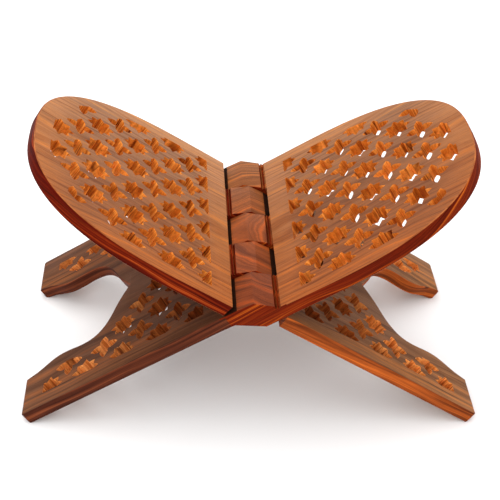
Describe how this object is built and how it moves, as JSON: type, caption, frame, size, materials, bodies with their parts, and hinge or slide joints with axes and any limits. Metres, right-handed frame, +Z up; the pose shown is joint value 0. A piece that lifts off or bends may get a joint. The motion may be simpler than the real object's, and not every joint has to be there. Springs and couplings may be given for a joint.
{
  "type": "folding quran stand",
  "caption": "Open X-shaped folding book stand: round-ended lattice-cut wooden boards on arched legs, locked together by interleaved wooden knuckles.",
  "frame": {"origin": "on the floor straight below the hinge line, midway along it, with the stand open", "axes": "+X from the left feet to the right feet, +Y along the hinge to the back, +Z up; the front faces -Y"},
  "size_m": [0.305, 0.175, 0.1763],
  "materials": {
    "sheesham": "oiled and lightly polished sheesham, rose-brown with dark streaks"
  },
  "bodies": {
    "outer_leaf": {"outer_leaf": "sheesham"},
    "inner_leaf": {"inner_leaf": "sheesham"}
  },
  "joints": [
    {"name": "leaf_hinge", "type": "hinge", "parent": "outer_leaf", "child": "inner_leaf", "pos_m": [0, 0, 0.09016], "axis": [0, 1, 0], "range_deg": [0, 115.7]}
  ]
}
